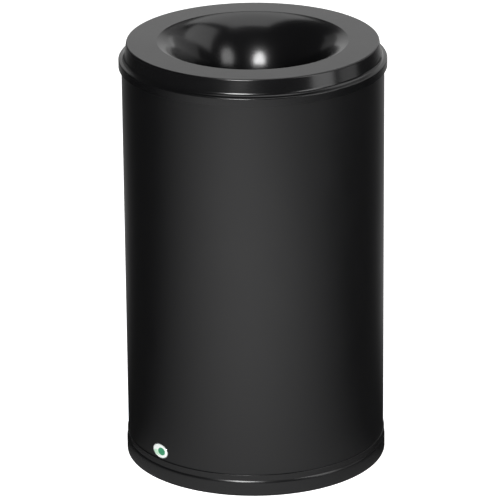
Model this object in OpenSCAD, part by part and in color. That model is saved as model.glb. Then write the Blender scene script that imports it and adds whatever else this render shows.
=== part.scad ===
// Round waste bin with a lift-off, flame-smothering funnel head and a galvanised liner.
// Millimetres, +Z up. The origin is on the floor, in the middle of the base ring.
// Sheet-metal pieces are one section turned about Z. A section is a run of corners
// [radius, height, bend], and the sheet lies on the left of the run, as it is walked.

/* [Overall] */
// Height from the floor to the flat top of the head
total_h = 750; // [740:1:800]
// Outer radius of the body shell
body_r = 225; // [222:1:235]
// Thickness of the body's sheet
body_t = 1; // [0.8:0.1:1.2]

/* [Head] */
// Thickness of the head's sheet
head_t = 1.2; // [1:0.1:1.3]
// Outer radius of the overhanging lip
lip_r = 230; // [230:0.5:232]
// Height of the lip's vertical band
lip_band = 14; // [10:0.5:15]
// Drop from the flat top to the lip's upper edge
lip_drop = 29.5; // [27:0.5:31]
// Radius of the collar at its foot
collar_foot_r = 220.6; // [218:0.2:221]
// Radius of the collar at the flat top
collar_top_r = 216.2; // [215:0.2:218]
// Radius of the funnel's upper edge
mouth_r = 164; // [162:1:166]
// Depth of the funnel, down to the curl of its lower edge
funnel_depth = 108; // [102:1:114]
// Radius of the funnel's throat at that depth
throat_r = 95; // [92:1:97]

/* [Body] */
// Radius of the wire in the body's curled edge
rim_wire_r = 1.1; // [1:0.1:1.2]
// Height of the pressed floor's top face
floor_z = 24; // [22:1:28]
// Angle about Z of the lap seam, from +X
seam_angle = 43; // [0:1:359]

/* [Base ring] */
// Outer radius of the ring's wide lower band
ring_r = 227.6; // [227.4:0.1:228.4]
// Height of the wide lower band, with its rounded shoulder
ring_band = 27.4; // [24:0.2:28]
// Height of the thin collar's upper edge
ring_h = 38.5; // [35:0.5:39]

/* [Liner] */
// Outer radius of the liner's wall
liner_r = 215; // [212:1:216]
// Thickness of the liner's galvanised sheet
liner_t = 0.8; // [0.7:0.1:1]
// Height of the liner's rim above the floor
liner_h = 670; // [660:1:674]
// Radius of the wire in the liner's rim
liner_wire_r = 1.5; // [1.2:0.1:1.6]

/* [Liner grips] */
// Radius of the grip's wire
grip_r = 3; // [2.5:0.1:3.2]
// Half the width of the grip, to the middle of its side arms
grip_half_w = 50; // [46:1:52]
// Drop of the grip from its pivot to the middle of its bar
grip_drop = 46; // [40:1:48]
// Distance of the pivot from the bin's axis
pivot_x = 196; // [195:0.5:197]
// Height of the pivot
pivot_z = 647; // [640:1:648]

/* [Badge] */
// Half the length of the oval badge
badge_a = 19; // [15:0.5:20]
// Half the height of the oval badge
badge_b = 13.4; // [11:0.2:13.6]
// Height of the badge's middle
badge_z = 54; // [53:0.5:65]
// Angle about Z of the badge, from +X
badge_angle = 222.6; // [0:0.2:359.8]

/* [Hidden] */
$fn = 96;
black_enamel = [0.08, 0.08, 0.085];
black_plastic = [0.05, 0.05, 0.055];
galvanised = [0.66, 0.68, 0.70];
bright_steel = [0.75, 0.75, 0.76];
badge_white = [0.95, 0.96, 0.94];

// Gap that keeps two pieces apart where they would touch
rest_gap = 0.3;
// Slack between a wire and the sheet curled around it
wire_slack = 0.05;
// Gap between a grip's pin and the bore of its lug
pin_slack = 0.05;
// Largest turn of a bend between two of its points
bend_step = 7.5;

// Middle of the body's curled top edge, just under the head's shoulder
rim_h = total_h - lip_drop - 3.2;

// The curled edges, as bend radii of their sheet's outer skin
rim_bend = rim_wire_r + wire_slack;
throat_wire_r = 1.5;
throat_bend = throat_wire_r + wire_slack + head_t;
liner_bend = liner_wire_r + wire_slack;

// Heights of the liner's parts, which stands on the pressed floor
liner_foot = floor_z + rest_gap;
liner_floor = liner_foot + 9;
bead_heights = [220, 450];
bead_depth = 2;

// The lugs and their rivets
lug_w = 12;
lug_y = grip_half_w + grip_r + 1 + lug_w / 2;
lug_knuckle_r = 6;
lug_plate_t = 2;
lug_plate_h = 42;
lug_plate_half_angle = 3;
rivet_r = 2.4;
rivet_hole_r = 2.45;
rivet_head_r = 4.2;
rivet_head_h = 1.6;
rivet_tail_h = 0.8;
rivet_drops = [12, 26];

// The grip's bends, and the peened heads on its pins
grip_bend = 12;
pin_bend = 4;
pin_head_r = 4;
pin_head_t = 1.5;
pin_head_gap = 0.5;

// The badge's layers
badge_plate_t = 0.5;
badge_rim = 1.3;
badge_dome_h = 1.7;
badge_dome_r = 100;

// A point at distance d from p, in direction a
function ahead(p, a, d) = [p[0] + d * cos(a), p[1] + d * sin(a)];

// Direction from p to q, and the turn from one direction to the next
function heading(p, q) = atan2(q[1] - p[1], q[0] - p[0]);
function turn(a, b) = let (d = (b - a) % 360) d > 180 ? d - 360 : (d < -180 ? d + 360 : d);

// The points of the bend at corner q, each as [radius, height, direction]
function bend(p, q, s) =
    let (
        a = heading(p, q),
        w = turn(a, heading(q, s)),
        side = sign(w),
        start = ahead(q, a, -q[2] * tan(abs(w) / 2)),
        middle = ahead(start, a + 90 * side, q[2]),
        steps = max(1, ceil(abs(w) / bend_step))
    )
    [for (i = [0:steps]) let (h = a + w * i / steps)
        concat(ahead(middle, h - 90 * side, q[2]), [h])];

// An open run of corners with its bends put in
function run(c) =
    let (n = len(c) - 1)
    concat(
        [[c[0][0], c[0][1], heading(c[0], c[1])]],
        [for (i = [1:n - 1]) each bend(c[i - 1], c[i], c[i + 1])],
        [[c[n][0], c[n][1], heading(c[n - 1], c[n])]]
    );

// A run moved d to its left
function beside(r, d) = [for (p = r) ahead(p, p[2] + 90, d)];

// The closed section of a sheet of thickness t on the left of a run of corners
function sheet(c, t) =
    let (r = run(c), skin = beside(r, 0), back = beside(r, t), n = len(r) - 1)
    concat(skin, [for (i = [n:-1:0]) back[i]]);

// A closed outline with its corners rounded
function rounded(c) =
    let (n = len(c))
    [for (i = [0:n - 1]) for (p = bend(c[(i + n - 1) % n], c[i], c[(i + 1) % n])) [p[0], p[1]]];

// Corners of a curled edge that leaves point p in direction a, on side 1 (left) or -1 (right)
function curl(p, a, r, side) =
    let (
        q = ahead(p, a + 90 * side, 2 * r),
        s = ahead(q, a + 180, 2 * r),
        e = ahead(s, a - 90 * side, 1.3 * r)
    )
    [[p[0], p[1], r], [q[0], q[1], r], [s[0], s[1], r], e];

// Middle of that curl, where its wire lies
function curl_middle(p, a, r, side) = ahead(ahead(p, a + 90 * side, r), a + 180, r);

// Corners of the funnel's bell-shaped wall, its lower end, and the direction it arrives in
funnel_shoulder = [145.5, total_h - 5, 58];
funnel_knee = [104, total_h - 55, 165];
throat_end = [throat_r, total_h - funnel_depth - throat_bend];
throat_heading = heading(funnel_knee, throat_end);

rim_corner = [body_r, rim_h + rim_bend];
liner_corner = [liner_r, liner_h + liner_bend];

module turned(section) {
    rotate_extrude() polygon(section);
}

module wire_ring(middle, r) {
    translate([0, 0, middle[1]]) rotate_extrude() translate([middle[0], 0]) circle(r, $fn = 32);
}

// A raised strip where a rolled sheet laps over itself
module lap_seam(r, height, width, low, high, angle) {
    half = width / r * 90 / PI;
    rotate([0, 0, angle - half])
    rotate_extrude(angle = 2 * half)
    translate([r - height / 2, low])
    square([1.5 * height, high - low]);
}

module body_shell() {
    foot = 3.6;
    color(black_enamel) {
        turned(sheet(concat([[body_r, foot]], curl(rim_corner, 90, rim_bend, -1)), body_t));
        lap_seam(body_r, 0.8, 9, ring_h + 2, rim_h - 4, seam_angle);
    }
}

module body_rim_wire() {
    color(bright_steel) wire_ring(curl_middle(rim_corner, 90, rim_bend, -1), rim_wire_r);
}

// Pressed floor with a turned-down flange and a shallow ring pressed in to stiffen it
module bottom_pan() {
    flange_r = body_r - body_t - 0.15;
    color(black_enamel)
    turned(sheet([
        [flange_r, 8],
        [flange_r, floor_z, 4],
        [200, floor_z, 3],
        [196, floor_z - 3, 3],
        [120, floor_z - 3, 3],
        [116, floor_z, 3],
        [0, floor_z]
    ], 1.2));
}

// Moulded ring: a wide band that leans in at its top, a groove, a thin collar, and a channel
// for the shell
module base_ring() {
    collar_r = body_r + 1.6;
    wall_r = body_r + 0.15;
    groove_r = body_r + 0.8;
    inner_wall_r = body_r - 5.4;
    color(black_plastic)
    turned(rounded([
        [205, 0, 0.8],
        [ring_r, 0, 1.2],
        [ring_r, ring_band - 2.8, 11],
        [groove_r, ring_band, 0.2],
        [groove_r, ring_band + 1.2, 0.1],
        [collar_r, ring_band + 1.2, 0.3],
        [collar_r, ring_h, 0.7],
        [wall_r, ring_h, 0.3],
        [wall_r, 3.2, 0.3],
        [body_r - 2.7, 3.2, 0.3],
        [body_r - 2.7, 14, 1],
        [inner_wall_r, 14, 1],
        [inner_wall_r, 3, 1],
        [205, 3, 0.8]
    ]));
}

// An oval block that stands out along +X, at the badge's place
module badge_block(a, b) {
    side = [for (i = [0:59]) [a * cos(6 * i), b * sin(6 * i)]];
    rotate([0, 0, badge_angle])
    translate([body_r - 5, 0, badge_z])
    rotate([90, 0, 90])
    linear_extrude(12)
    polygon(side);
}

module badge_plate() {
    inner = body_r + 0.05;
    color(bright_steel)
    intersection() {
        badge_block(badge_a, badge_b);
        translate([0, 0, badge_z - 20]) difference() {
            cylinder(40, inner + badge_plate_t, inner + badge_plate_t);
            translate([0, 0, -1]) cylinder(42, inner, inner);
        }
    }
}

module badge_dome() {
    foot = body_r + 0.1 + badge_plate_t;
    color(badge_white)
    difference() {
        intersection() {
            badge_block(badge_a - badge_rim, badge_b - badge_rim);
            rotate([0, 0, badge_angle])
            translate([foot + badge_dome_h - badge_dome_r, 0, badge_z])
            sphere(badge_dome_r);
        }
        translate([0, 0, badge_z - 20]) cylinder(40, foot, foot);
    }
}

// Lip, shoulder, collar, flat top and funnel in one spun sheet
module head_cover() {
    lip_top = total_h - lip_drop;
    color(black_enamel)
    turned(sheet(concat([
        [lip_r, lip_top - lip_band],
        [lip_r, lip_top, 2],
        [collar_foot_r, lip_top + 2.2, 6.5],
        [collar_top_r, total_h, 2.6],
        [mouth_r, total_h, 3],
        funnel_shoulder,
        funnel_knee
    ], curl(throat_end, throat_heading, throat_bend, 1)), head_t));
}

module throat_wire() {
    color(bright_steel)
    wire_ring(curl_middle(throat_end, throat_heading, throat_bend, 1), throat_wire_r);
}

// One stiffening bead, pressed outwards around the liner
function bead(z) = [
    [liner_r, z - 6, 3],
    [liner_r + bead_depth, z - 2.5, 2],
    [liner_r + bead_depth, z + 2.5, 2],
    [liner_r, z + 6, 3]
];

module liner_shell() {
    color(galvanised) {
        difference() {
            turned(sheet(concat(
                [[liner_r, liner_foot]],
                [for (z = bead_heights) each bead(z)],
                curl(liner_corner, 90, liner_bend, -1)
            ), liner_t));
            for (side = [-1, 1]) for (end = [-1, 1]) on_quarter(side, end) rivet_holes();
        }
        lap_seam(liner_r, 0.8, 8, liner_foot + 10, bead_heights[0] - 8, seam_angle);
        lap_seam(liner_r, 0.8, 8, bead_heights[0] + 8, bead_heights[1] - 8, seam_angle);
        lap_seam(liner_r, 0.8, 8, bead_heights[1] + 8, liner_h - 6, seam_angle);
    }
}

// Dished floor of the liner, with its flange turned down inside the wall
module liner_bottom() {
    flange_r = liner_r - liner_t - 0.1;
    color(galvanised)
    turned(sheet([
        [flange_r, liner_foot + 0.4],
        [flange_r, liner_floor, 3],
        [0, liner_floor]
    ], liner_t));
}

module liner_rim_wire() {
    color(bright_steel) wire_ring(curl_middle(liner_corner, 90, liner_bend, -1), liner_wire_r);
}

// The wall's inner radius, and the angle at which a lug's middle lies on it
wall_r = liner_r - liner_t;
lug_angle = asin(lug_y / wall_r);

// Rivet from inside the liner: domed head, shank through lug and wall, flat tail outside
module rivet(drop) {
    shank = lug_plate_t + liner_t + 0.15;
    rotate([0, 0, lug_angle])
    translate([wall_r + liner_t, 0, pivot_z - drop])
    rotate([0, -90, 0]) {
        cylinder(shank, rivet_r, rivet_r, $fn = 32);
        translate([0, 0, -rivet_tail_h]) cylinder(rivet_tail_h, 3.4, 3.4, $fn = 32);
        translate([0, 0, shank]) intersection() {
            cylinder(rivet_head_h, rivet_head_r, rivet_head_r, $fn = 32);
            translate([0, 0, rivet_head_h - 6.3]) sphere(6.3, $fn = 48);
        }
    }
}

// Holes for the rivets of the +X, +Y quarter's lug, through lug and wall
module rivet_holes() {
    for (drop = rivet_drops)
        rotate([0, 0, lug_angle])
        translate([wall_r - 6, 0, pivot_z - drop])
        rotate([0, 90, 0])
        cylinder(12, rivet_hole_r, rivet_hole_r, $fn = 32);
}

// The lug on the +X, +Y quarter: a curved plate on the wall and a bored knuckle that stands in
module lug() {
    plate_r = wall_r - 0.1;
    difference() {
        union() {
            rotate([0, 0, lug_angle - lug_plate_half_angle])
            translate([0, 0, pivot_z + 8 - lug_plate_h])
            rotate_extrude(angle = 2 * lug_plate_half_angle)
            translate([plate_r - lug_plate_t, 0])
            square([lug_plate_t, lug_plate_h]);
            translate([pivot_x, lug_y - lug_w / 2, pivot_z])
            rotate([-90, 0, 0])
            cylinder(lug_w, lug_knuckle_r, lug_knuckle_r);
            intersection() {
                translate([pivot_x, lug_y - lug_w / 2, pivot_z])
                cube([20, lug_w, lug_knuckle_r]);
                translate([0, 0, pivot_z]) cylinder(lug_knuckle_r, plate_r - 1, plate_r - 1);
            }
        }
        translate([pivot_x, lug_y - lug_w, pivot_z])
        rotate([-90, 0, 0])
        cylinder(2 * lug_w, grip_r + pin_slack, grip_r + pin_slack);
        rivet_holes();
    }
}

// Places a piece of the +X, +Y quarter on any quarter
module on_quarter(side, end) {
    mirror([side < 0 ? 1 : 0, 0, 0]) mirror([0, end < 0 ? 1 : 0, 0]) children();
}

module left_front_lug() { color(galvanised) on_quarter(-1, -1) lug(); }
module left_rear_lug() { color(galvanised) on_quarter(-1, 1) lug(); }
module right_front_lug() { color(galvanised) on_quarter(1, -1) lug(); }
module right_rear_lug() { color(galvanised) on_quarter(1, 1) lug(); }

module lug_rivets() { for (drop = rivet_drops) rivet(drop); }

module left_front_rivets() { color(bright_steel) on_quarter(-1, -1) lug_rivets(); }
module left_rear_rivets() { color(bright_steel) on_quarter(-1, 1) lug_rivets(); }
module right_front_rivets() { color(bright_steel) on_quarter(1, -1) lug_rivets(); }
module right_rear_rivets() { color(bright_steel) on_quarter(1, 1) lug_rivets(); }

// Quarter turn of the grip's wire in the YZ plane, around its middle, from angle a
module wire_bend(r, a) {
    rotate([0, -90, 0]) rotate([0, 0, a]) rotate_extrude(angle = 90)
    translate([r, 0]) circle(grip_r, $fn = 32);
}

// Length of the grip's wire along +Y from height z
module wire_along_y(from, to, z) {
    translate([0, from, z]) rotate([-90, 0, 0]) cylinder(to - from, grip_r, grip_r, $fn = 48);
}

// Half of the grip: bar, bend, side arm, bend and pin, with the pivot at the origin
module half_grip() {
    bar_end = grip_half_w - grip_bend;
    pin_start = grip_half_w + pin_bend;
    pin_end = lug_y + lug_w / 2 + pin_head_gap;
    wire_along_y(0, bar_end, -grip_drop);
    translate([0, bar_end, grip_bend - grip_drop]) wire_bend(grip_bend, 90);
    translate([0, grip_half_w, grip_bend - grip_drop])
    cylinder(grip_drop - grip_bend - pin_bend, grip_r, grip_r, $fn = 48);
    translate([0, pin_start, -pin_bend]) wire_bend(pin_bend, 270);
    wire_along_y(pin_start, pin_end, 0);
    translate([0, pin_end, 0]) rotate([-90, 0, 0])
    cylinder(pin_head_t, pin_head_r, pin_head_r, $fn = 48);
}

module grip() {
    translate([pivot_x, 0, pivot_z]) {
        half_grip();
        mirror([0, 1, 0]) half_grip();
    }
}

module left_handle() { color(bright_steel) on_quarter(-1, 1) grip(); }
module right_handle() { color(bright_steel) on_quarter(1, 1) grip(); }

body_shell();
body_rim_wire();
bottom_pan();
base_ring();
badge_plate();
badge_dome();
head_cover();
throat_wire();
liner_shell();
liner_bottom();
liner_rim_wire();
left_front_lug();
left_rear_lug();
right_front_lug();
right_rear_lug();
left_front_rivets();
left_rear_rivets();
right_front_rivets();
right_rear_rivets();
left_handle();
right_handle();
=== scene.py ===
# %% [markdown]
# # A round waste bin with a flame-smothering funnel head
# The bin is sheet metal: a rolled body, a spun head with a deep funnel that starves a fire of air,
# a moulded floor ring, and a galvanised liner that is lifted out to empty it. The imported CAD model
# is the fixed frame. Each visible piece is made again here as a fine, smooth surface in the same
# place, because a glossy black coat shows every facet of a coarse one.

# %% Load the frame
import math
import bpy
import numpy as np
from mathutils import Matrix, Vector


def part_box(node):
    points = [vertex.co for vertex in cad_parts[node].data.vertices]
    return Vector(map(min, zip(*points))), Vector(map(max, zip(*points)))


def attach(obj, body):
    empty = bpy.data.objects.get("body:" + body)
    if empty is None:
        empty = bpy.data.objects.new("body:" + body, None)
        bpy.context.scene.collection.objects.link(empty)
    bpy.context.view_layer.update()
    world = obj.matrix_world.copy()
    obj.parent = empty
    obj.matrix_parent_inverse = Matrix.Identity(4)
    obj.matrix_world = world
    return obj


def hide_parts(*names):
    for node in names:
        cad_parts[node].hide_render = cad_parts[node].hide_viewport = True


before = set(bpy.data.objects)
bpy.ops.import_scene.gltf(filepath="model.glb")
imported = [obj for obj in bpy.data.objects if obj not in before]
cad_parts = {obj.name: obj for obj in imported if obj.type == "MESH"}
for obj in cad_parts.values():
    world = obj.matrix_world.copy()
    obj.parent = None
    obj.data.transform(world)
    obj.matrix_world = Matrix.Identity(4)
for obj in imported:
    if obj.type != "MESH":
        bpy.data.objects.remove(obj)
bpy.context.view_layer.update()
scene = bpy.context.scene
MM = 0.001


# %% [markdown]
# ## Sections of sheet metal
# Almost every piece is a section turned about the bin's axis. A section starts as a few corners,
# [radius, height, bend], in millimetres. A press or a spinning roller can't make a sharp corner, so
# each one becomes an arc. Walking along the skin of the sheet and copying it one thickness to the
# left gives both faces of the sheet, which no bevel on a hard-edged shape would do as truly.

# %% Bends, runs and sheets
BEND_STEP = 7.5     # degrees of an arc between two of its points, at most
ARC_STEP = 2.5      # millimetres of an arc between two of its points, at most


def bend(before, corner, after):
    """Points of the arc at a corner: the arc touches both straights, and its points are the arc's
    middle plus its radius, in steps of at most BEND_STEP degrees and ARC_STEP millimetres. Columns:
    radius, height, heading."""
    before, corner, after = (np.array(p, float) for p in (before, corner, after))
    into, out = corner[:2] - before[:2], after[:2] - corner[:2]
    a = math.atan2(into[1], into[0])
    turn = (math.atan2(out[1], out[0]) - a + math.pi) % (2 * math.pi) - math.pi
    side, radius = math.copysign(1, turn), corner[2]
    steps = max(1, math.ceil(math.degrees(abs(turn)) / BEND_STEP),
                math.ceil(abs(turn) * radius / ARC_STEP))
    heading = a + turn * np.arange(steps + 1) / steps
    start = corner[:2] - radius * math.tan(abs(turn) / 2) * np.array([math.cos(a), math.sin(a)])
    middle = start + side * radius * np.array([-math.sin(a), math.cos(a)])
    normal = np.stack([-np.sin(heading), np.cos(heading)], 1)
    return np.column_stack([middle - side * radius * normal, heading])


def run(corners):
    """An open run of corners with its bends put in, between its two bare ends."""
    def end(p, q, at):
        return np.array([[at[0], at[1], math.atan2(q[1] - p[1], q[0] - p[0])]])
    bends = [bend(*corners[i - 1:i + 2]) for i in range(1, len(corners) - 1)]
    first, last = corners[:2], corners[-2:]
    return np.vstack([end(*first, first[0]), *bends, end(*last, last[1])])


def sheet(corners, thickness):
    """Closed section of a sheet: the run, then, backwards, the run moved one thickness to its
    left."""
    r = run(corners)
    left = np.stack([-np.sin(r[:, 2]), np.cos(r[:, 2])], 1)
    return np.vstack([r[:, :2], (r[:, :2] + thickness * left)[::-1]])


def rounded(corners):
    """Closed outline of a solid section, each corner rounded by its own bend."""
    n = len(corners)
    return np.vstack([bend(corners[i - 1], corners[i], corners[(i + 1) % n])[:, :2]
                      for i in range(n)])


def ahead(p, angle, distance):
    """The point at a distance from p, in a direction given in degrees."""
    a = math.radians(angle)
    return [p[0] + distance * math.cos(a), p[1] + distance * math.sin(a)]


def curl(p, angle, r, side):
    """Corners of an edge that leaves p in direction angle and is rolled round a wire."""
    q = ahead(p, angle + 90 * side, 2 * r)
    s = ahead(q, angle + 180, 2 * r)
    return [[*p, r], [*q, r], [*s, r], ahead(s, angle - 90 * side, 1.3 * r)]


def curl_middle(p, angle, r, side):
    """Middle of that curl, where its wire lies."""
    return ahead(ahead(p, angle + 90 * side, r), angle + 180, r)


print("a right-angle bend has", len(bend([0, 0], [10, 0, 3], [10, 10])), "points")


# %% [markdown]
# ## From a section to a turned surface
# A turned surface is a grid: one direction walks round the section, the other round the axis. Long
# straight stretches get an extra ring close to each end. Smooth shading blends the normals of
# neighbouring faces, and without those rings a tiny bend would tilt the light on a whole flat face.

# %% Turned surfaces
ROUND = 320         # columns round the axis
SUPPORT = 0.5       # millimetres from the end of a straight stretch to its extra ring
TINY = 1e-6         # millimetres, or radians: closer than this counts as touching
WIRE_SIDES = 24


def supported(outline, closed=True):
    """Adds a point SUPPORT from each end of every stretch that is longer than a step of a bend."""
    after = np.roll(outline, -1, 0) if closed else outline[1:]
    here = outline if closed else outline[:-1]
    span = np.linalg.norm(after - here, axis=1)
    part = np.minimum(SUPPORT / np.maximum(span, 1e-9), 0.5)[:, None]
    trio = np.stack([here, here + (after - here) * part, after - (after - here) * part], 1)
    straight = span > 1.02 * ARC_STEP
    keep = np.stack([np.ones(len(span), bool), straight, straight], 1)
    points = trio[keep]
    return points if closed else np.vstack([points, outline[-1:]])


def make_mesh(name, points, faces, smooth_angle=40):
    """A mesh object from an array of points in metres and a list of faces, shaded smooth except at
    edges sharper than smooth_angle degrees."""
    mesh = bpy.data.meshes.new(name)
    mesh.from_pydata(points.tolist(), [], faces)
    mesh.validate()
    mesh.shade_smooth()
    mesh.set_sharp_from_angle(angle=math.radians(smooth_angle))
    piece = bpy.data.objects.new(name, mesh)
    scene.collection.objects.link(piece)
    return piece


def ring_quads(rows, columns, wrap_rows, flip):
    """Quads of a grid whose columns close on themselves, and whose rows do too if wrap_rows."""
    starts = np.arange(rows if wrap_rows else rows - 1)
    i, j = np.meshgrid(starts, np.arange(columns), indexing="ij")
    up, on = (i + 1) % rows, (j + 1) % columns
    quads = np.stack([i * columns + j, i * columns + on, up * columns + on, up * columns + j], -1)
    quads = quads.reshape(-1, 4)
    return quads[:, ::-1] if flip else quads


def turned(name, outline, extra_angles=(), swell=None):
    """A closed section (radius, height, in mm) turned about Z: x = r cos a, y = r sin a, and z is
    the height, where r may be swollen by swell(r, z, a). A section with both ends on the axis
    becomes a disc, each end one pole vertex."""
    x, z = outline[:, 0], outline[:, 1]
    area = np.sum(x * np.roll(z, -1) - np.roll(x, -1) * z)
    on_axis = np.flatnonzero(x < TINY)
    disc = len(on_axis) == 2
    if disc:
        outline = np.roll(outline, -on_axis[-1] if on_axis[-1] - on_axis[0] == 1 else 0, 0)
        outline = supported(outline, closed=False)
        poles, outline = outline[[0, -1]], outline[1:-1]
    else:
        outline = supported(outline)
    angles = np.unique(np.concatenate([np.arange(ROUND) * 2 * math.pi / ROUND, extra_angles]))
    r, a = np.meshgrid(outline[:, 0], angles, indexing="ij")
    height = np.broadcast_to(outline[:, 1:], r.shape)
    if swell is not None:
        r = r + swell(r, height, a)
    points = np.stack([r * np.cos(a), r * np.sin(a), height], -1).reshape(-1, 3)
    rows, columns = len(outline), len(angles)
    faces = ring_quads(rows, columns, not disc, flip=area < 0).tolist()
    if disc:
        top = len(points)
        points = np.vstack([points, [[0, 0, poles[0, 1]], [0, 0, poles[1, 1]]]])
        j = np.arange(columns)
        k = (j + 1) % columns
        last = (rows - 1) * columns
        fans = [np.stack([np.full(columns, top), k, j], 1),
                np.stack([np.full(columns, top + 1), last + j, last + k], 1)]
        faces += [f[::-1] if area < 0 else f for fan in fans for f in fan.tolist()]
    return make_mesh(name, points * MM, faces)


def wire_ring(name, middle, radius):
    """A whole ring of round wire, its section a circle of the given middle and radius."""
    t = np.arange(WIRE_SIDES) * 2 * math.pi / WIRE_SIDES
    circle = np.stack([np.cos(t), np.sin(t)], 1)
    return turned(name, np.array(middle) + radius * circle)


def fit(piece, body, node, material):
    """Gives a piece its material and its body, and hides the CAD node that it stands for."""
    piece.data.materials.append(material)
    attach(piece, body)
    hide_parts(node)
    print(f"{piece.name}: {len(piece.data.polygons)} faces, rides on {body}")
    return piece


# %% [markdown]
# ## Materials: one small helper
# Each material is a Principled shader plus a few texture nodes that read Object coordinates, so a
# pattern's scale is a real length. Colours are written as sRGB hex, as a paint chart gives them,
# and turned to linear light by one function.

# %% Colour and node helpers
def linear(code):
    """sRGB hex to linear RGBA: the value over 12.92 up to 0.04045, and above that the value plus
    0.055, over 1.055, to the power 2.4."""
    v = np.array([int(code[i:i + 2], 16) for i in (0, 2, 4)]) / 255
    return (*np.where(v <= 0.04045, v / 12.92, ((v + 0.055) / 1.055) ** 2.4).tolist(), 1.0)


def add(tree, kind, links=None, **settings):
    """Adds one node. Settings that name an input set its value; others set the node's property.
    links maps an input's name or number to the output socket that feeds it."""
    node = tree.nodes.new(kind)
    for key, value in settings.items():
        if hasattr(node, key):
            setattr(node, key, value)
        else:
            node.inputs[key.replace("_", " ")].default_value = value
    for key, output in (links or {}).items():
        tree.links.new(output, node.inputs[key])
    return node


def new_material(name, **shader):
    """A material with one Principled shader. Returns the material, its tree, the shader and the
    Object coordinates."""
    material = bpy.data.materials.new(name)
    material.use_nodes = True
    tree = material.node_tree
    tree.nodes.clear()
    principled = add(tree, "ShaderNodeBsdfPrincipled")
    for key, value in shader.items():
        principled.inputs[key.replace("_", " ")].default_value = value
    add(tree, "ShaderNodeOutputMaterial", {"Surface": principled.outputs["BSDF"]})
    place = add(tree, "ShaderNodeTexCoord").outputs["Object"]
    return material, tree, principled, place


# %% [markdown]
# ## Black powder coat
# Powder coat is sprayed on as dry powder and baked until it flows. It never flows quite flat: the
# skin keeps a faint orange peel, ripples one or two millimetres across and some microns deep. The
# body's coat is satin, so a light smears into a soft tall band; the head's flows out smoother.

# %% Powder coats
PATCH_SIZE = 60     # millimetres across one of the patches in which the roughness wanders


def powder_coat(name, colour, roughness, peel_mm, peel_depth_mm, roughness_spread):
    """Black powder coat: a dielectric skin, orange peel as bump, and roughness that wanders."""
    material, tree, shader, place = new_material(
        name, Base_Color=linear(colour), Roughness=roughness, IOR=1.5)
    peel = add(tree, "ShaderNodeTexNoise", {"Vector": place},
               Scale=1 / (peel_mm * MM), Detail=1.0)
    bump = add(tree, "ShaderNodeBump", {"Height": peel.outputs["Fac"]},
               Strength=1.0, Distance=peel_depth_mm * MM)
    tree.links.new(bump.outputs["Normal"], shader.inputs["Normal"])
    patches = add(tree, "ShaderNodeTexNoise", {"Vector": place},
                  Scale=1 / (PATCH_SIZE * MM), Detail=3.0)
    spread = add(tree, "ShaderNodeMapRange", {"Value": patches.outputs["Fac"]},
                 From_Min=0.3, From_Max=0.7,
                 To_Min=roughness - roughness_spread, To_Max=roughness + roughness_spread)
    tree.links.new(spread.outputs["Result"], shader.inputs["Roughness"])
    return material


satin_coat = powder_coat("Satin black powder coat", "0b0b0c", 0.30, 1.6, 0.010, 0.02)
gloss_coat = powder_coat("Smooth black powder coat", "0a0a0b", 0.20, 2.4, 0.004, 0.015)
print("coats:", satin_coat.name, "|", gloss_coat.name)


# %% [markdown]
# ## Moulded black ring
# The floor ring is injection-moulded polypropylene: as black as the body's coat and a little
# shinier, with a fine spark-eroded grain that only breaks up its highlights.

# %% Moulded polypropylene
moulded, tree, shader, place = new_material(
    "Moulded black polypropylene", Base_Color=linear("0b0b0c"), Roughness=0.26, IOR=1.49)
grain = add(tree, "ShaderNodeTexNoise", {"Vector": place}, Scale=1 / (1.2 * MM), Detail=2.0)
bump = add(tree, "ShaderNodeBump", {"Height": grain.outputs["Fac"]},
           Strength=1.0, Distance=0.004 * MM)
tree.links.new(bump.outputs["Normal"], shader.inputs["Normal"])
print("ring:", moulded.name)


# %% [markdown]
# ## Galvanised sheet
# The liner is dipped in molten zinc. As the zinc cools it freezes into spangle: flat crystals ten
# millimetres or so across, each at its own tilt, so neighbours catch the light differently. Voronoi
# cells are the same shape as crystals that grow until they meet, so they give it directly.

# %% Galvanised zinc, zinc-plated wire and rivet aluminium
galvanised, tree, shader, place = new_material(
    "Hot-dip galvanised sheet", Base_Color=linear("b4b8bb"), Metallic=1.0, Roughness=0.42)
SPANGLE_SIZE, BORDER_WAVE, BORDER_SHIFT = 11, 9, 4      # millimetres
wander = add(tree, "ShaderNodeTexNoise", {"Vector": place},
             Scale=1 / (BORDER_WAVE * MM), Detail=2.0)
bent = add(tree, "ShaderNodeVectorMath", {0: wander.outputs["Color"]},
           operation="SCALE", Scale=BORDER_SHIFT * MM)
shifted = add(tree, "ShaderNodeVectorMath", {0: place, 1: bent.outputs["Vector"]},
              operation="ADD")
spangle = add(tree, "ShaderNodeTexVoronoi", {"Vector": shifted.outputs["Vector"]},
              Scale=1 / (SPANGLE_SIZE * MM))
grey = add(tree, "ShaderNodeSeparateColor", {"Color": spangle.outputs["Color"]}).outputs["Red"]
tint = add(tree, "ShaderNodeMix", {"Factor": grey}, data_type="RGBA")
tint.inputs["A"].default_value = linear("abb0b3")
tint.inputs["B"].default_value = linear("bec2c4")
tree.links.new(tint.outputs["Result"], shader.inputs["Base Color"])
facet = add(tree, "ShaderNodeMapRange", {"Value": grey}, To_Min=0.38, To_Max=0.48)
tree.links.new(facet.outputs["Result"], shader.inputs["Roughness"])
tilt = add(tree, "ShaderNodeBump", {"Height": grey}, Strength=0.25, Distance=0.03 * MM)
tree.links.new(tilt.outputs["Normal"], shader.inputs["Normal"])


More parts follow.
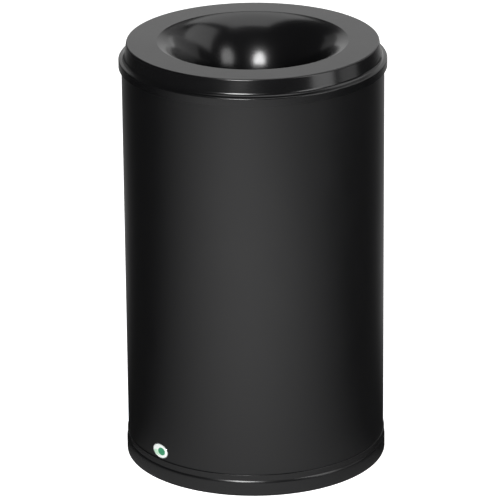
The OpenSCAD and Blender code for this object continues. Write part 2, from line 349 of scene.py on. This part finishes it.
def plain_metal(name, colour, roughness, streak_mm):
    """A bare or plated metal: its tint, and drawing marks that stretch its highlights a little."""
    material, tree, shader, place = new_material(
        name, Base_Color=linear(colour), Metallic=1.0, Roughness=roughness)
    marks = add(tree, "ShaderNodeTexNoise", {"Vector": place},
                Scale=1 / (streak_mm * MM), Detail=4.0)
    spread = add(tree, "ShaderNodeMapRange", {"Value": marks.outputs["Fac"]},
                 To_Min=roughness * 0.7, To_Max=roughness * 1.3)
    tree.links.new(spread.outputs["Result"], shader.inputs["Roughness"])
    return material


zinc_wire = plain_metal("Bright zinc-plated steel wire", "c3c6c8", 0.26, 3)
rivet_metal = plain_metal("Aluminium rivet", "cfd0d2", 0.34, 2)
foil = plain_metal("Metallised foil", "d9dadb", 0.16, 4)
print("metals:", galvanised.name, zinc_wire.name, rivet_metal.name, foil.name, sep=" | ")


# %% [markdown]
# ## Body shell
# One millimetre sheet, rolled into a tube and lapped along one line at the back. Its top edge is
# curled outwards round a wire: that stiffens the mouth, leaves no raw edge, and carries the head.

# %% Body shell and its rim wire
head_top = np.array(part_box("head_cover")[1]) / MM
TOTAL_H, LIP_R = head_top[2], head_top[0]
BODY_R, BODY_T = 225, 1
LIP_DROP, LIP_BAND = 29.5, 14       # how far the lip's corner is below the top, and its height
RIM_WIRE_R, WIRE_SLACK = 1.1, 0.05
RIM_BEND = RIM_WIRE_R + WIRE_SLACK
SEAM_ANGLE = math.radians(43)
BODY_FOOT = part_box("body_shell")[0][2] / MM
RING_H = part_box("base_ring")[1][2] / MM
RIM_BELOW_LIP = 3.2
LAP_STEP, LAP_PROUD = 0.25, 0.8     # how wide a seam's step is drawn, and how far it stands out
BODY_LAP_W, LINER_LAP_W = 9, 8
rim_h = TOTAL_H - LIP_DROP - RIM_BELOW_LIP
rim_corner = [BODY_R, rim_h + RIM_BEND]


def lap_columns(radius, width):
    """Angles on both sides of each edge of a lap seam, close enough to draw its step."""
    half = width / 2 / radius
    step = LAP_STEP / radius
    edges = [-half - step, -half, half, half + step]
    return np.array([SEAM_ANGLE + e for e in edges])


def lap_seam(radius, width, stretches):
    """Swell of a lap seam: LAP_PROUD where the skin is at that radius, within half the width of
    the seam line and inside one of the stretches of height, and nothing elsewhere."""
    def swell(r, z, a):
        near = np.abs(a - SEAM_ANGLE) <= width / 2 / radius + TINY
        tall = np.any([(z > lo) & (z < hi) for lo, hi in stretches], axis=0)
        return np.where(near & tall & (np.abs(r - radius) < 0.02), LAP_PROUD, 0.0)
    return swell


def cut_at(outline, heights):
    """Adds a point wherever the closed outline crosses one of the heights: the start of the
    stretch, plus the stretch times the share of its rise that has been climbed."""
    way = np.roll(outline, -1, 0) - outline
    rise = np.where(way[:, 1:] == 0, np.inf, way[:, 1:])
    share = (np.array(heights) - outline[:, 1:]) / rise
    edge, which = np.nonzero((share > 1e-9) & (share < 1 - 1e-9))
    t = share[edge, which]
    place_in_row = np.concatenate([np.arange(len(outline)), edge + t])
    order = np.argsort(place_in_row, kind="stable")
    return np.vstack([outline, outline[edge] + way[edge] * t[:, None]])[order]


def lap_heights(stretches):
    """Two heights at each end of a lap seam, close enough together to draw its step."""
    return [z for lo, hi in stretches for z in (lo, lo + LAP_STEP, hi - LAP_STEP, hi)]


body_lap = [(RING_H + 2, rim_h - 4)]
body_corners = [[BODY_R, BODY_FOOT], *curl(rim_corner, 90, RIM_BEND, -1)]
body_section = cut_at(sheet(body_corners, BODY_T), lap_heights(body_lap))
fit(turned("body_shell_skin", body_section, lap_columns(BODY_R, BODY_LAP_W),
           lap_seam(BODY_R, BODY_LAP_W, body_lap)),
    "bin", "body_shell", satin_coat)
fit(wire_ring("body_rim_wire_ring", curl_middle(rim_corner, 90, RIM_BEND, -1), RIM_WIRE_R),
    "bin", "body_rim_wire", zinc_wire)


# %% [markdown]
# ## Pressed floor and moulded ring
# The body's floor is a disc with its edge turned down and a shallow ring pressed into it, because a
# flat disc this wide would drum. The ring under the body is moulded: a wide band that takes the
# scuffs and rounds in at its top, a thin recess that hides the joint, and a thin collar that grips
# the sheet.

# %% Bottom pan and base ring
FLOOR_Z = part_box("bottom_pan")[1][2] / MM
PAN_T, PAN_SLACK = 1.2, 0.15
flange_r = BODY_R - BODY_T - PAN_SLACK
pan = [[flange_r, 8], [flange_r, FLOOR_Z, 4], [200, FLOOR_Z, 3], [196, FLOOR_Z - 3, 3],
       [120, FLOOR_Z - 3, 3], [116, FLOOR_Z, 3], [0, FLOOR_Z]]
fit(turned("bottom_pan_disc", sheet(pan, PAN_T)),
    "bin", "bottom_pan", satin_coat)

RING_R, RING_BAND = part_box("base_ring")[1][0] / MM, 27.4
ring_outline = rounded([
    [205, 0, 0.8], [RING_R, 0, 1.2], [RING_R, RING_BAND - 2.8, 11],
    [BODY_R + 0.8, RING_BAND, 0.2], [BODY_R + 0.8, RING_BAND + 1.2, 0.1],
    [BODY_R + 1.6, RING_BAND + 1.2, 0.3], [BODY_R + 1.6, RING_H, 0.7],
    [BODY_R + 0.15, RING_H, 0.3], [BODY_R + 0.15, 3.2, 0.3], [BODY_R - 2.7, 3.2, 0.3],
    [BODY_R - 2.7, 14, 1], [BODY_R - 5.4, 14, 1], [BODY_R - 5.4, 3, 1], [205, 3, 0.8]])
fit(turned("base_ring_moulding", ring_outline), "bin", "base_ring", moulded)


# %% [markdown]
# ## Funnel head
# One disc of sheet, spun over a former: lip, shoulder, collar, flat top, and the bell that leads
# down to the throat. The bell is two long arcs, so light slides down it without a break. The
# throat's edge is rolled round a wire, since hands and rubbish pass it all day.

# %% Head cover and throat wire
HEAD_T, MOUTH_R, THROAT_R, FUNNEL_DEPTH, THROAT_WIRE_R = 1.2, 164, 95, 108, 1.5
lip_top = TOTAL_H - LIP_DROP
throat_bend = THROAT_WIRE_R + WIRE_SLACK + HEAD_T
knee = [104, TOTAL_H - 55, 165]
throat_end = [THROAT_R, TOTAL_H - FUNNEL_DEPTH - throat_bend]
throat_heading = math.degrees(math.atan2(throat_end[1] - knee[1], throat_end[0] - knee[0]))
head_corners = [[LIP_R, lip_top - LIP_BAND], [LIP_R, lip_top, 2], [220.6, lip_top + 2.2, 6.5],
                [216.2, TOTAL_H, 2.6], [MOUTH_R, TOTAL_H, 3], [145.5, TOTAL_H - 5, 58], knee]
head_corners += curl(throat_end, throat_heading, throat_bend, 1)
fit(turned("funnel_head", sheet(head_corners, HEAD_T)),
    "head", "head_cover", gloss_coat)
fit(wire_ring("throat_wire_ring", curl_middle(throat_end, throat_heading, throat_bend, 1),
              THROAT_WIRE_R), "head", "throat_wire", zinc_wire)


# %% [markdown]
# ## Galvanised liner
# The liner stands on the pressed floor. Its wall is stiffened by two beads and a wired rim, and it
# is lapped along the same line as the body. Its floor is a dish pushed in from below and held by
# its flange.

# %% Liner wall, floor and rim wire
LINER_R, LINER_T, LINER_WIRE_R = 215, 0.8, 1.5
LINER_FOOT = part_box("liner_shell")[0][2] / MM
LINER_H = 670
LINER_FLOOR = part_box("liner_bottom")[1][2] / MM
BEADS = [220, 450]
liner_bend = LINER_WIRE_R + WIRE_SLACK
liner_corner = [LINER_R, LINER_H + liner_bend]


def bead(z):
    """Corners of a stiffening bead pressed two millimetres out of the wall at height z."""
    crest = LINER_R + 2
    return [[LINER_R, z - 6, 3], [crest, z - 2.5, 2], [crest, z + 2.5, 2], [LINER_R, z + 6, 3]]


liner_corners = [[LINER_R, LINER_FOOT], *bead(BEADS[0]), *bead(BEADS[1]),
                 *curl(liner_corner, 90, liner_bend, -1)]
liner_laps = [(LINER_FOOT + 10, BEADS[0] - 8), (BEADS[0] + 8, BEADS[1] - 8),
              (BEADS[1] + 8, LINER_H - 6)]
liner_section = cut_at(sheet(liner_corners, LINER_T), lap_heights(liner_laps))
fit(turned("liner_wall", liner_section, lap_columns(LINER_R, LINER_LAP_W),
           lap_seam(LINER_R, LINER_LAP_W, liner_laps)),
    "liner", "liner_shell", galvanised)
DISH_SLACK = 0.1
flange_r = LINER_R - LINER_T - DISH_SLACK
dish = [[flange_r, LINER_FOOT + 0.4], [flange_r, LINER_FLOOR, 3], [0, LINER_FLOOR]]
fit(turned("liner_floor_dish", sheet(dish, LINER_T)),
    "liner", "liner_bottom", galvanised)
fit(wire_ring("liner_rim_wire_ring", curl_middle(liner_corner, 90, liner_bend, -1),
              LINER_WIRE_R), "liner", "liner_rim_wire", zinc_wire)


# %% [markdown]
# ## Drop grips
# Two U-shaped grips of round wire hang inside the liner. Folded down they are out of the rubbish's
# way, and swung up they lift the full liner. Each is one wire, so it is made as one circle carried
# along one bent path, and its ends are peened into flat heads.

# %% Grips
GRIP_R, GRIP_HALF, GRIP_DROP = 3, 50, 46
PIVOT_X, PIVOT_Z = 196, 647
LUG_Y, LUG_W, KNUCKLE_R = 60, 12, 6
PIN_END = LUG_Y + LUG_W / 2 + 0.5
grip_path = run([[-PIN_END, 0], [-GRIP_HALF, 0, 4], [-GRIP_HALF, -GRIP_DROP, 12],
                 [GRIP_HALF, -GRIP_DROP, 12], [GRIP_HALF, 0, 4], [PIN_END, 0]])


def capped_tube(rows, radii, middle_x, middle_z, sides=32):
    """Surface of a wire: each row is (y, z, heading) of its middle line, and carries a circle of
    its own radius that stands square to the heading. Both ends close on a pole vertex."""
    t = np.arange(sides) * 2 * math.pi / sides
    y, z, h = (rows[:, k:k + 1] for k in range(3))
    radius = np.asarray(radii)[:, None]
    across = radius * np.cos(t)
    points = np.stack([middle_x + radius * np.sin(t) + 0 * y, y - across * np.sin(h),
                       middle_z + z + across * np.cos(h)], -1).reshape(-1, 3)
    faces = ring_quads(len(rows), sides, False, False).tolist()
    ends = rows[[0, -1]]
    points = np.vstack([points, [[middle_x, e[0], middle_z + e[1]] for e in ends]])
    j = np.arange(sides)
    k, top, last = (j + 1) % sides, len(rows) * sides, (len(rows) - 1) * sides
    faces += np.stack([np.full(sides, top), k, j], 1).tolist()
    faces += np.stack([np.full(sides, top + 1), last + j, last + k], 1).tolist()
    return points, faces


def peened(path):
    """The grip's path with its two heads added: rows that swell from the wire's radius to the
    head's and close over it. Returns the rows and the radius of each."""
    out = np.array([0.0, 0.0, 0.15, 0.3, 1.2, 1.4, 1.5, 1.5])
    size = np.array([GRIP_R, 3.6, 3.85, 4.0, 4.0, 3.85, 3.6, 0.02])
    tail = np.column_stack([path[-1, 0] + out, 0 * out, 0 * out])
    head = np.column_stack([path[0, 0] - out, 0 * out, 0 * out])[::-1]
    radii = np.concatenate([size[::-1], np.full(len(path), GRIP_R), size])
    return np.vstack([head, path, tail]), radii


grip_rows, grip_radii = peened(grip_path)
for side, label in ((-1, "left"), (1, "right")):
    points, faces = capped_tube(grip_rows, grip_radii, side * PIVOT_X, PIVOT_Z)
    grip = make_mesh(f"{label}_drop_grip", points * MM, faces)
    fit(grip, f"{label}_grip", f"{label}_handle", zinc_wire)


# %% [markdown]
# ## Lugs and rivets
# Each grip turns in two lugs. A lug is a plate that follows the wall, riveted through it twice,
# with a bored knuckle that stands inwards. The four are mirror images, so one is worked out on the
# +X, +Y quarter and the others are reflected. A reflection turns a shape inside out, so its faces
# are wound the other way.

# %% Lugs
WALL_R = LINER_R - LINER_T
LUG_ANGLE = math.asin(LUG_Y / WALL_R)
PLATE_T, PLATE_H, PLATE_HALF = 2, 42, math.radians(3) * WALL_R
PLATE_ABOVE_PIVOT = 8
PIN_SLACK, BITE = 0.05, 0.9         # round the grip's pin, and from the wall's face into the lug
QUARTERS = {"left_front": (-1, -1), "left_rear": (-1, 1),
            "right_front": (1, -1), "right_rear": (1, 1)}


def slab(outline, layers):
    """A closed solid over a flat outline: each layer is the outline pulled in by an inset and
    lifted to a depth, and a pole closes the first and the last one. Columns of a point: u, v,
    depth."""
    rows = [np.column_stack([outline(inset), np.full(len(outline(0)), depth)])
            for inset, depth in layers]
    n, count = len(rows[0]), len(rows)
    poles = [[0, 0, layers[0][1]], [0, 0, layers[-1][1]]]
    j = np.arange(n)
    k, last = (j + 1) % n, (count - 1) * n
    faces = ring_quads(count, n, False, False).tolist()
    faces += np.stack([np.full(n, count * n), k, j], 1).tolist()
    faces += np.stack([np.full(n, count * n + 1), last + j, last + k], 1).tolist()
    return np.vstack([*rows, poles]), faces


def rounded_plate(half_w, half_h, corner, v_middle=0.0):
    """Outline function of a rectangle with round corners: an arc of nine points at each corner."""
    def outline(inset):
        t = np.radians(np.arange(0, 360, 90)[:, None] + np.linspace(0, 90, 9))
        c = max(corner - inset, 0.01)
        u = np.array([1, -1, -1, 1])[:, None] * (half_w - inset - c) + c * np.cos(t)
        v = np.array([1, 1, -1, -1])[:, None] * (half_h - inset - c) + c * np.sin(t)
        return np.column_stack([u.ravel(), v_middle + v.ravel()])
    return outline


def wrapped(points, angle, radius, height):
    """Bends a flat (u, v, depth) shape round the bin's axis: the angle grows by u over the
    radius."""
    a, r = angle + points[:, 0] / radius, radius + points[:, 2]
    return np.column_stack([r * np.cos(a), r * np.sin(a), height + points[:, 1]])


def knuckle():
    """A bored boss on the pivot's axis. Its rim is a circle, except in the quarter that faces up
    and out, where it runs to the wall: its reach there is the wall's distance over the cosine, or
    the boss's radius over the sine, whichever is less."""
    turn = np.radians(np.concatenate([np.arange(0, 91, 3), np.arange(93, 360, 3), [359.9]]))
    edge, bore, half = 0.5, GRIP_R + PIN_SLACK, LUG_W / 2
    section = rounded([[bore, -half, edge], [KNUCKLE_R, -half, edge], [KNUCKLE_R, half, edge],
                       [bore, half, edge]])
    rho, t = np.meshgrid(section[:, 0], turn, indexing="ij")
    y = LUG_Y + np.broadcast_to(section[:, 1:], rho.shape)
    to_wall = np.sqrt((WALL_R - BITE) ** 2 - y ** 2) - PIVOT_X
    quarter = t <= math.pi / 2 + 1e-9
    reach = np.minimum(to_wall / np.maximum(np.cos(t), TINY),
                       KNUCKLE_R / np.maximum(np.sin(t), TINY))
    grow = np.where(quarter, np.maximum(reach, KNUCKLE_R) - KNUCKLE_R, 0.0)
    rho = rho + grow * np.clip((rho - bore) / (KNUCKLE_R - bore), 0, 1)
    points = np.stack([PIVOT_X + rho * np.cos(t), y, PIVOT_Z + rho * np.sin(t)], -1)
    return points.reshape(-1, 3), ring_quads(len(section), len(turn), True, True).tolist()


def mirrored(name, parts, sx, sy):
    """Joins parts (points, faces) into one mesh on the quarter sx, sy. Its faces are rewound where
    it is mirrored."""
    starts = np.cumsum([0] + [len(p) for p, _ in parts])
    faces = [[v + start for v in f] for (_, fs), start in zip(parts, starts) for f in fs]
    points = np.vstack([p for p, _ in parts]) * [sx, sy, 1] * MM
    return make_mesh(name, points, [f[::-1] for f in faces] if sx * sy < 0 else faces)


plate_layers = [(0.6, -PLATE_T), (0.15, -PLATE_T + 0.15), (0, -PLATE_T + 0.6), (0, 0)]
plate, plate_faces = slab(rounded_plate(PLATE_HALF, PLATE_H / 2, 3.5), plate_layers[::-1])
plate = wrapped(plate, LUG_ANGLE, WALL_R - 0.1, PIVOT_Z + PLATE_ABOVE_PIVOT - PLATE_H / 2)
lug_parts = [(plate, [f[::-1] for f in plate_faces]), knuckle()]
for label, (sx, sy) in QUARTERS.items():
    fit(mirrored(f"{label}_grip_lug", lug_parts, sx, sy),
        "liner", f"{label}_lug", galvanised)


# %% Rivets
SHANK = PLATE_T + LINER_T + 0.15
RIVET_DROPS = [12, 26]              # millimetres below the pivot
CROWN_R, CROWN_H, RIVET_SIDES = 6.3, 1.6, 32


def rivet(drop):
    """A rivet lying along the wall's radius: its half section is turned about that line, tail
    first, then shank, then a head whose height falls as a circle of radius CROWN_R does."""
    dome = np.linspace(4.2, 0, 8)
    crown = SHANK + CROWN_H - CROWN_R + np.sqrt(CROWN_R ** 2 - dome ** 2)
    half = np.vstack([[0, -0.8], [3.1, -0.8], [3.4, -0.55], [3.4, 0], [2.4, 0], [2.4, SHANK],
                      [4.1, SHANK], np.column_stack([dome, crown])])
    inner, n = half[1:-1], RIVET_SIDES
    rho, t = np.meshgrid(inner[:, 0], np.arange(n) * 2 * math.pi / n, indexing="ij")
    up = np.broadcast_to(inner[:, 1:], rho.shape)
    local = np.stack([rho * np.cos(t), rho * np.sin(t), up], -1).reshape(-1, 3)
    local = np.vstack([local, [[0, 0, half[0, 1]], [0, 0, half[-1, 1]]]])
    out = np.array([math.cos(LUG_ANGLE), math.sin(LUG_ANGLE), 0])
    across = np.array([-math.sin(LUG_ANGLE), math.cos(LUG_ANGLE), 0])
    points = (local[:, :1] * across + local[:, 1:2] * [0, 0, -1] - local[:, 2:] * out
              + out * (WALL_R + LINER_T) + [0, 0, PIVOT_Z - drop])
    j = np.arange(n)
    k, last, pole = (j + 1) % n, (len(inner) - 1) * n, len(inner) * n
    faces = ring_quads(len(inner), n, False, False).tolist()
    faces += np.stack([np.full(n, pole), k, j], 1).tolist()
    faces += np.stack([np.full(n, pole + 1), last + j, last + k], 1).tolist()
    return points, faces


for label, (sx, sy) in QUARTERS.items():
    fit(mirrored(f"{label}_rivet_pair", [rivet(d) for d in RIVET_DROPS], sx, sy),
        "liner", f"{label}_rivets", rivet_metal)


# %% [markdown]
# ## Badge
# A small oval label low on the body: a silver foil plate, bent to the body's curve, under a lens of
# clear resin. The resin is poured and stands up like a drop of water, steep at its edge and nearly
# flat in the middle. The print under it is plain: a pale green spot, half under a green one, on
# white.

# %% Badge plate, print and resin
BADGE_ANGLE, BADGE_Z, BADGE_A, BADGE_B = math.radians(222.6), 54, 19, 13.4
BADGE_RIM, BADGE_PLATE_T, BADGE_DOME_H = 1.3, 0.5, 1.7
FOIL_LIFT, DOME_LIFT = 0.05, 0.1    # hair-thin gaps, so that no two surfaces share a place
DROP_POWER = 0.36                   # how a drop's height follows its width: a sphere's is a half
LABEL_WHITE = "dde2df"


def oval(a, b):
    """Outline function of an ellipse that shrinks evenly: an inset of b brings it to a point."""
    t = np.arange(96) * 2 * math.pi / 96
    return lambda inset: (1 - inset / b) * np.column_stack([a * np.cos(t), b * np.sin(t)])


foil_layers = [(0, 0), (0, 0.35), (0.06, 0.45), (0.2, BADGE_PLATE_T), (1.5, BADGE_PLATE_T)]
points, faces = slab(oval(BADGE_A, BADGE_B), foil_layers)
points = wrapped(points, BADGE_ANGLE, BODY_R + FOIL_LIFT, BADGE_Z)
fit(make_mesh("badge_foil_plate", points * MM, faces), "bin", "badge_plate", foil)

small_a, small_b = BADGE_A - BADGE_RIM, BADGE_B - BADGE_RIM
share = np.sin(np.linspace(math.pi / 2, 0.05, 24))
height = BADGE_DOME_H * (1 - share ** 2) ** DROP_POWER
dome_layers = [(small_b * 0.9, 0), *zip(small_b * (1 - share), height)]
points, faces = slab(oval(small_a, small_b), dome_layers)
points = wrapped(points, BADGE_ANGLE, BODY_R + DOME_LIFT + BADGE_PLATE_T, BADGE_Z)
dome = make_mesh("badge_resin_dome", points * MM, faces)

printed, tree, shader, place = new_material(
    "Clear resin over a printed label", Base_Color=linear(LABEL_WHITE), Roughness=0.5, IOR=1.5,
    Coat_Weight=1.0, Coat_Roughness=0.04, Coat_IOR=1.5)
face = add(tree, "ShaderNodeMapping", {"Vector": place}, vector_type="TEXTURE",
           Location=(0, 0, BADGE_Z * MM), Rotation=(0, 0, BADGE_ANGLE)).outputs["Vector"]


def spot(u, v, reach_u, reach_v, edge=0.06):
    """Mask of an oval spot on the label: one where the distance to its middle, each way over the
    spot's reach that way, is below one."""
    moved = add(tree, "ShaderNodeVectorMath", {0: face}, operation="SUBTRACT")
    moved.inputs[1].default_value = (0, u * MM, v * MM)
    scaled = add(tree, "ShaderNodeVectorMath", {0: moved.outputs["Vector"]}, operation="MULTIPLY")
    scaled.inputs[1].default_value = (0, 1 / (reach_u * MM), 1 / (reach_v * MM))
    far = add(tree, "ShaderNodeVectorMath", {0: scaled.outputs["Vector"]}, operation="LENGTH")
    soft = add(tree, "ShaderNodeMapRange", {"Value": far.outputs["Value"]},
               interpolation_type="SMOOTHSTEP",
               From_Min=1 - edge, From_Max=1 + edge, To_Min=1.0, To_Max=0.0)
    return soft.outputs["Result"]


pale_spot, green_spot = spot(-6.5, -3.5, 8.5, 5.0), spot(5.0, 0.6, 8.2, 7.0)
colour = None
for mask, code in ((pale_spot, "b5d8bd"), (green_spot, "1c8258")):
    layer = add(tree, "ShaderNodeMix", {"Factor": mask}, data_type="RGBA")
    layer.inputs["A"].default_value = linear(LABEL_WHITE)
    if colour is not None:
        tree.links.new(colour, layer.inputs["A"])
    layer.inputs["B"].default_value = linear(code)
    colour = layer.outputs["Result"]
tree.links.new(colour, shader.inputs["Base Color"])
fit(dome, "bin", "badge_dome", printed)


# %% [markdown]
# ## Floor and light
# A gloss black object shows its lights, not its colour. So each card is placed where one surface
# mirrors it: cards behind the bin for the flat top, one overhead for the funnel's far side, a
# bright disc in front for the funnel's hot spot, and cards at the right for the collar. The body's
# tall glow is the floor's light.

# %% Floor and world
FLOOR_R, LIT_R, AMBIENT = 30, 4, 0.045      # metres, metres, radiance
bpy.ops.mesh.primitive_circle_add(vertices=96, radius=FLOOR_R, fill_type="NGON")
floor = bpy.context.object
floor.name = "pale_floor"
paper, tree, shader, place = new_material(
    "Matt white paper", Base_Color=linear("f4f4f4"), Roughness=0.9,
    Emission_Color=linear("ffffff"), Emission_Strength=0.85)
floor.data.materials.append(paper)
floor.visible_glossy = False
floor.visible_shadow = False

world = bpy.data.worlds.new("studio")
scene.world = world
world.use_nodes = True
tree = world.node_tree
tree.nodes.clear()
ray = add(tree, "ShaderNodeLightPath")
seen = add(tree, "ShaderNodeBackground", Color=linear("ffffff"), Strength=1.0)
ambient = add(tree, "ShaderNodeBackground", Color=linear("ffffff"), Strength=AMBIENT)
either = add(tree, "ShaderNodeMixShader", {
    0: ray.outputs["Is Camera Ray"], 1: ambient.outputs[0], 2: seen.outputs[0]})
add(tree, "ShaderNodeOutputWorld", {"Surface": either.outputs[0]})
print("floor:", paper.name, "| the world is white to the camera and nearly dark to the bin")


# %% Softboxes
AIM_Z = 0.45        # metres: the height that every softbox faces


def card(name, middle, way, width, height, radiance, shape="RECTANGLE"):
    """A flat light at middle, in metres, that faces along way. Its power is its radiance times
    four times its area, and an ellipse's area is pi over four of its box's."""
    lamp = bpy.data.lights.new(name, "AREA")
    lamp.shape, lamp.size, lamp.size_y = shape, width, height
    area = width * height * (math.pi / 4 if shape == "ELLIPSE" else 1)
    lamp.energy = radiance * 4 * area
    holder = bpy.data.objects.new(name, lamp)
    holder.location = middle
    holder.rotation_mode = "QUATERNION"
    holder.rotation_quaternion = Vector(way).to_track_quat("-Z", "Y")
    holder.visible_camera = False
    scene.collection.objects.link(holder)
    print(f"{name}: {width} by {height} m, {lamp.energy:.0f} W")
    return holder


def softbox(name, azimuth, elevation, distance, width, height, radiance, shape="RECTANGLE"):
    """A card on a sphere round the bin's upper half, facing it. Azimuth 0 is in front of the bin,
    and positive is to the right."""
    a, e = math.radians(azimuth), math.radians(elevation)
    way = np.array([math.sin(a) * math.cos(e), -math.cos(a) * math.cos(e), math.sin(e)])
    middle = way * distance + [0, 0, AIM_Z]
    return card(name, middle.tolist(), (-way).tolist(), width, height, radiance, shape)


# Each softbox: azimuth and elevation in degrees; distance, width and height in metres; radiance.
softbox("back_card", 176, 8, 4.0, 3.4, 3.1, 0.54)
softbox("right_back_card", 134, 19, 3.5, 3.0, 1.7, 0.34)
softbox("left_back_card", -149, 18, 4.0, 1.6, 1.8, 0.16)
card("overhead_card", (0.105, 0.56, 2.6), (0, 0, -1), 1.37, 2.58, 1.42)
softbox("key_disc", -12.5, 24.5, 3.0, 1.05, 1.15, 21.0, "ELLIPSE")
softbox("right_disc", 50, 27, 3.0, 1.1, 1.25, 3.4, "ELLIPSE")
softbox("right_strip", 62, 9.5, 3.0, 1.15, 1.1, 2.0)
softbox("upper_right_card", 106, 47, 3.0, 2.1, 1.5, 1.05)
softbox("side_strip", 90, 1.5, 3.0, 1.15, 0.4, 0.8)
softbox("upper_back_card", 150, 38, 3.5, 1.9, 0.8, 0.27)


# %% Light on the floor
# A vertical wall seen from above mirrors the floor, so the body's tall glow is the floor's light.
# It is brightest in front of the bin, a touch to the left, and fades with the angle from there;
# behind, a little comes back. It grows with the distance from the bin up to FULL_AT and falls off
# past POOL_EDGE, measured from the pool's middle. Only reflections see it.
AHEAD = (-0.07, -0.9975, 0)                 # unit vector to the brightest side
FOOT, FULL_AT = 0.25, 1.4                   # metres from the bin's axis
POOL_MIDDLE, POOL_EDGE, POOL_END = (-0.5, -0.5, 0), 1.5, 2.2
bpy.ops.mesh.primitive_circle_add(
    vertices=96, radius=LIT_R, fill_type="NGON", location=(0, 0, 0.002))
glow = bpy.context.object
glow.name = "lit_floor"
lit, tree, shader, place = new_material(
    "Lit studio floor", Base_Color=linear("000000"), Roughness=1.0)
way = add(tree, "ShaderNodeVectorMath", {0: place}, operation="NORMALIZE").outputs["Vector"]
ahead_share = add(tree, "ShaderNodeVectorMath", {0: way}, operation="DOT_PRODUCT")
ahead_share.inputs[1].default_value = AHEAD
behind_share = add(tree, "ShaderNodeMath", {0: ahead_share.outputs["Value"]}, operation="MULTIPLY")
behind_share.inputs[1].default_value = -1.0


def fading(share, power, strength):
    """Strength times the share, where it is above zero, raised to a power."""
    above = add(tree, "ShaderNodeMath", {0: share.outputs["Value"]}, operation="MAXIMUM")
    above.inputs[1].default_value = 0.0
    raised = add(tree, "ShaderNodeMath", {0: above.outputs["Value"]}, operation="POWER")
    raised.inputs[1].default_value = power
    scaled = add(tree, "ShaderNodeMath", {0: raised.outputs["Value"]}, operation="MULTIPLY")
    scaled.inputs[1].default_value = strength
    return scaled.outputs["Value"]


from_bin = add(tree, "ShaderNodeVectorMath", {0: place}, operation="LENGTH")
near = add(tree, "ShaderNodeMapRange", {"Value": from_bin.outputs["Value"]},
           From_Min=FOOT, From_Max=FULL_AT, To_Min=0.68, To_Max=1.2)
from_pool = add(tree, "ShaderNodeVectorMath", {0: place}, operation="DISTANCE")
from_pool.inputs[1].default_value = POOL_MIDDLE
far = add(tree, "ShaderNodeMapRange", {"Value": from_pool.outputs["Value"]},
          From_Min=POOL_EDGE, From_Max=POOL_END, To_Min=1.0, To_Max=0.45)
reach = add(tree, "ShaderNodeMath", {0: near.outputs["Result"], 1: far.outputs["Result"]},
            operation="MULTIPLY")
both = add(tree, "ShaderNodeMath",
           {0: fading(ahead_share, 1.7, 1.06), 1: fading(behind_share, 6, 0.8)},
           operation="ADD")
total = add(tree, "ShaderNodeMath", {0: both.outputs["Value"], 1: reach.outputs["Value"]},
            operation="MULTIPLY")
tree.links.new(total.outputs["Value"], shader.inputs["Emission Strength"])
shader.inputs["Emission Color"].default_value = linear("ffffff")
glow.data.materials.append(lit)
for kind in ("camera", "diffuse", "shadow", "transmission"):
    setattr(glow, f"visible_{kind}", False)
print("lit floor:", lit.name, "seen only in reflections")


# %% [markdown]
# ## Camera
# The camera stands seven metres off with a long lens, so the bin's sides stay almost parallel, and
# looks down at about twenty degrees.

# %% Camera
CAMERA_DISTANCE, PITCH, ROLL = 7.0, math.radians(20.64), math.radians(-0.48)
HALF_HEIGHT = 0.375
lens = bpy.data.cameras.new("camera")
lens.lens, lens.sensor_width = 289.8, 36.0
lens.shift_x, lens.shift_y = -0.0088, -0.0092
camera = bpy.data.objects.new("camera", lens)
camera.matrix_world = (
    Matrix.Translation((0, -CAMERA_DISTANCE * math.cos(PITCH),
                        HALF_HEIGHT + CAMERA_DISTANCE * math.sin(PITCH)))
    @ Matrix.Rotation(math.pi / 2 - PITCH, 4, "X") @ Matrix.Rotation(ROLL, 4, "Z"))
lens.clip_end = 100
scene.collection.objects.link(camera)
scene.camera = camera
scene.view_settings.view_transform = "Standard"
print("camera:", CAMERA_DISTANCE, "m away, lens", round(lens.lens), "mm")
